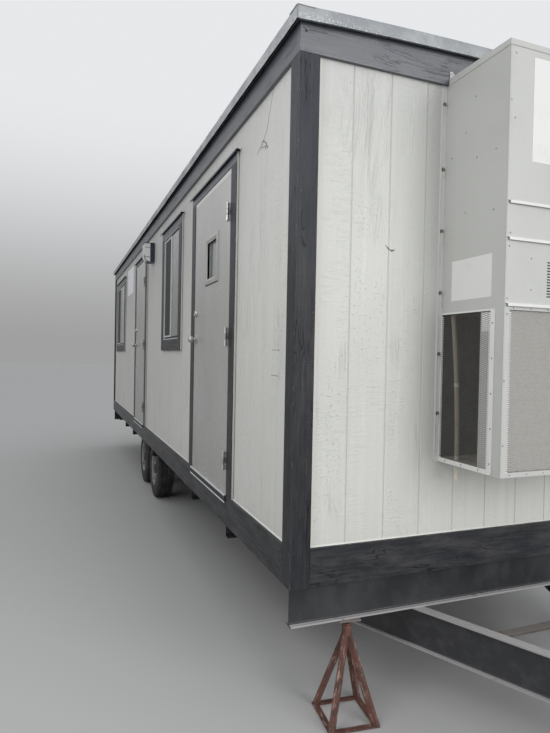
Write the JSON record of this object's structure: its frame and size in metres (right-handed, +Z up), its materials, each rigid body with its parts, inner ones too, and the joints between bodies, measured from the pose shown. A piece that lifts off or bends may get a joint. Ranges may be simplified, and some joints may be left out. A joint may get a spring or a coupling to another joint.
{
  "type": "portable site cabin",
  "caption": "Timber-clad portable office cabin on a wheeled steel chassis with hitch tongue, hinged doors, windows, wall light and wall-mounted air conditioner.",
  "frame": {"origin": "on the ground under the middle of the whole outline, tongue included", "axes": "+X along the cabin towards the hitch, +Y towards the plain long side, away from the doors, +Z up"},
  "size_m": [9.847, 2.607, 3.254],
  "materials": {
    "siding": "painted, satin, wood-grain panels",
    "dark_trim": "charcoal paint on rough-sawn boards",
    "roof_metal": "weathered galvanised sheet",
    "chassis_steel": "black chassis paint, worn flanges",
    "running_gear_steel": "black paint with dust",
    "tyre_rubber": "road tyre",
    "jack_rust": "red primer gone rusty",
    "floor_wood": "plywood",
    "roof_timber": "painted boarding",
    "door_paint": "light warm grey, satin",
    "aluminium_mill": "mill finish, dusty",
    "hardware_steel": "satin",
    "pane": "clear",
    "lamp_housing": "dark navy",
    "lamp_lens": "prismatic, milky",
    "ac_paint": "beige grey powder coat",
    "coil_fins": "fine fins",
    "pipe_foam": "tan insulation"
  },
  "bodies": {
    "cabin": {"ac_cabinet": "ac_paint", "ac_cap": "ac_paint", "ac_coil": "coil_fins", "ac_front_lips": "ac_paint", "ac_guard_frames": "ac_paint", "ac_guards": "ac_paint", "ac_pipes": "pipe_foam", "axles": "running_gear_steel", "back_wall": "siding", "base_band": "dark_trim", "corner_boards": "dark_trim", "coupler": "chassis_steel", "cross_channels": "chassis_steel", "door_frame_far": "dark_trim", "door_frame_near": "dark_trim", "door_hinges": "hardware_steel", "door_wall_between_doors": "siding", "door_wall_by_far_end": "siding", "door_wall_by_hitch": "siding", "door_wall_over_far_door": "siding", "door_wall_over_near_door": "siding", "far_end_beam": "chassis_steel", "far_end_wall": "siding", "fascia": "dark_trim", "floor_deck": "floor_wood", "floor_structure": "floor_wood", "hitch_end_beam": "chassis_steel", "hitch_end_wall": "siding", "jack_stand_back_side": "jack_rust", "jack_stand_door_side": "jack_rust", "long_beam_back_side": "chassis_steel", "long_beam_door_side": "chassis_steel", "roof_edge_flashing": "roof_metal", "roof_sheet": "roof_metal", "roof_structure": "roof_timber", "springs_back_side": "running_gear_steel", "springs_door_side": "running_gear_steel", "thresholds": "aluminium_mill", "tongue_beam_back_side": "chassis_steel", "tongue_beam_door_side": "chassis_steel", "tongue_brace": "chassis_steel", "wall_light_housing": "lamp_housing", "wall_light_lens": "lamp_lens", "window_casings": "dark_trim", "window_frames": "aluminium_mill", "window_glass_back_side": "pane", "window_glass_door_side": "pane"},
    "near_door": {"door_near": "door_paint", "door_near_furniture": "hardware_steel", "door_near_glass": "pane", "door_near_light_frame": "door_paint"},
    "far_door": {"door_far": "door_paint", "door_far_furniture": "hardware_steel"},
    "wheel_front_back_side_body": {"wheel_front_back_side": "tyre_rubber"},
    "wheel_front_door_side_body": {"wheel_front_door_side": "tyre_rubber"},
    "wheel_rear_back_side_body": {"wheel_rear_back_side": "tyre_rubber"},
    "wheel_rear_door_side_body": {"wheel_rear_door_side": "tyre_rubber"}
  },
  "joints": [
    {"name": "near_door_swing", "type": "hinge", "parent": "cabin", "child": "near_door", "pos_m": [2.641, -1.2215, 1.85], "axis": [0, 0, 1], "range_deg": [0, 110]},
    {"name": "far_door_swing", "type": "hinge", "parent": "cabin", "child": "far_door", "pos_m": [-0.982, -1.2215, 1.85], "axis": [0, 0, 1], "range_deg": [0, 110]},
    {"name": "wheel_front_back_side_spin", "type": "hinge", "parent": "cabin", "child": "wheel_front_back_side_body", "pos_m": [-0.7815, 1.0735, 0.332], "axis": [0, 1, 0], "continuous": true},
    {"name": "wheel_front_door_side_spin", "type": "hinge", "parent": "cabin", "child": "wheel_front_door_side_body", "pos_m": [-0.7815, -1.0025, 0.332], "axis": [0, 1, 0], "continuous": true},
    {"name": "wheel_rear_back_side_spin", "type": "hinge", "parent": "cabin", "child": "wheel_rear_back_side_body", "pos_m": [-1.6325, 1.0735, 0.332], "axis": [0, 1, 0], "continuous": true},
    {"name": "wheel_rear_door_side_spin", "type": "hinge", "parent": "cabin", "child": "wheel_rear_door_side_body", "pos_m": [-1.6325, -1.0025, 0.332], "axis": [0, 1, 0], "continuous": true}
  ]
}
